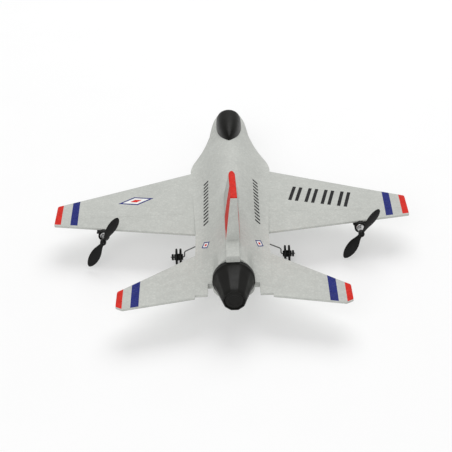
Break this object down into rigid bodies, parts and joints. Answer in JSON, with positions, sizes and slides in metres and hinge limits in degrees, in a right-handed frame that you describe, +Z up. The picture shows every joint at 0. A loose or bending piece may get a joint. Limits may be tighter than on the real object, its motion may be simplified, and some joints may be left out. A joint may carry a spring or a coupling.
{
  "type": "radio-controlled foam jet",
  "caption": "Small foam jet with swept tailplanes, a single fin, a dark bubble canopy, a conical nozzle, wing-mounted pusher motors and a wire undercarriage.",
  "frame": {"origin": "on the floor, under the middle of the model's outer box", "axes": "+Y from the nose towards the tail, +X towards the left wing tip, +Z up"},
  "size_m": [0.29, 0.34, 0.0896],
  "materials": {
    "foam": "moulded bead foam, fine pebbled skin, matt",
    "black_plastic": "satin black moulded plastic",
    "propeller_plastic": "semi-gloss black nylon",
    "grey_plastic": "matt grey",
    "white_plastic": "semi-gloss off-white nylon",
    "steel": "bright drawn wire and turned can",
    "carbon": "matt black carbon rod and thin black lead",
    "board": "green circuit board with parts",
    "battery_wrap": "plain blue heat-shrink sleeve",
    "red_wire": "red silicone-covered lead",
    "lamp": "clear red indicator lens"
  },
  "bodies": {
    "airframe": {"fuselage_upper": "foam", "fuselage_belly": "foam", "wing_left": "foam", "wing_right": "foam", "tailplane_left": "foam", "tailplane_right": "foam", "fin": "foam", "canopy": "black_plastic", "nose_cone": "black_plastic", "nozzle_shell": "black_plastic", "nozzle_end_plate": "black_plastic", "motor_mount_left": "black_plastic", "motor_mount_right": "black_plastic", "main_gear_block": "black_plastic", "main_gear_clamp": "black_plastic", "nose_gear_block": "black_plastic", "wheel_cap_left": "black_plastic", "wheel_cap_right": "black_plastic", "nose_wheel_cap": "black_plastic", "battery_tray": "black_plastic", "board_tray": "grey_plastic", "power_switch_body": "grey_plastic", "motor_end_cap_left": "white_plastic", "motor_end_cap_right": "white_plastic", "battery_plug": "white_plastic", "board_socket": "white_plastic", "motor_can_left": "steel", "motor_can_right": "steel", "main_gear_leg_left": "steel", "main_gear_leg_right": "steel", "nose_gear_leg": "steel", "gear_screw_left": "steel", "gear_screw_right": "steel", "wing_spar": "carbon", "antenna_wire": "carbon", "receiver_board": "board", "battery": "battery_wrap", "motor_wire_left": "red_wire", "motor_wire_right": "red_wire", "battery_lead": "red_wire", "status_lamp": "lamp"},
    "propeller_left_body": {"propeller_left": "propeller_plastic", "motor_shaft_left": "steel"},
    "propeller_right_body": {"propeller_right": "propeller_plastic", "motor_shaft_right": "steel"},
    "wheel_left_body": {"wheel_left": "black_plastic"},
    "wheel_right_body": {"wheel_right": "black_plastic"},
    "nose_wheel_body": {"nose_wheel": "black_plastic"},
    "battery_door_body": {"battery_door": "black_plastic"},
    "power_switch_body_knob": {"power_switch_knob": "white_plastic"}
  },
  "joints": [
    {"name": "propeller_left_spin", "type": "hinge", "parent": "airframe", "child": "propeller_left_body", "pos_m": [0.104, 0.0662, 0.0265], "axis": [0, 1, 0], "continuous": true},
    {"name": "propeller_right_spin", "type": "hinge", "parent": "airframe", "child": "propeller_right_body", "pos_m": [-0.104, 0.0662, 0.0265], "axis": [0, 1, 0], "continuous": true},
    {"name": "wheel_left_spin", "type": "hinge", "parent": "airframe", "child": "wheel_left_body", "pos_m": [0.0443, 0.0612, 0.007], "axis": [1, 0, 0], "continuous": true},
    {"name": "wheel_right_spin", "type": "hinge", "parent": "airframe", "child": "wheel_right_body", "pos_m": [-0.0443, 0.0612, 0.007], "axis": [1, 0, 0], "continuous": true},
    {"name": "nose_wheel_spin", "type": "hinge", "parent": "airframe", "child": "nose_wheel_body", "pos_m": [0, -0.112, 0.006], "axis": [1, 0, 0], "continuous": true},
    {"name": "battery_door_slide", "type": "slide", "parent": "airframe", "child": "battery_door_body", "axis": [0, 1, 0], "range_m": [0, 0.024]},
    {"name": "power_switch_slide", "type": "slide", "parent": "airframe", "child": "power_switch_body_knob", "axis": [0, 1, 0], "range_m": [0, 0.002]}
  ]
}
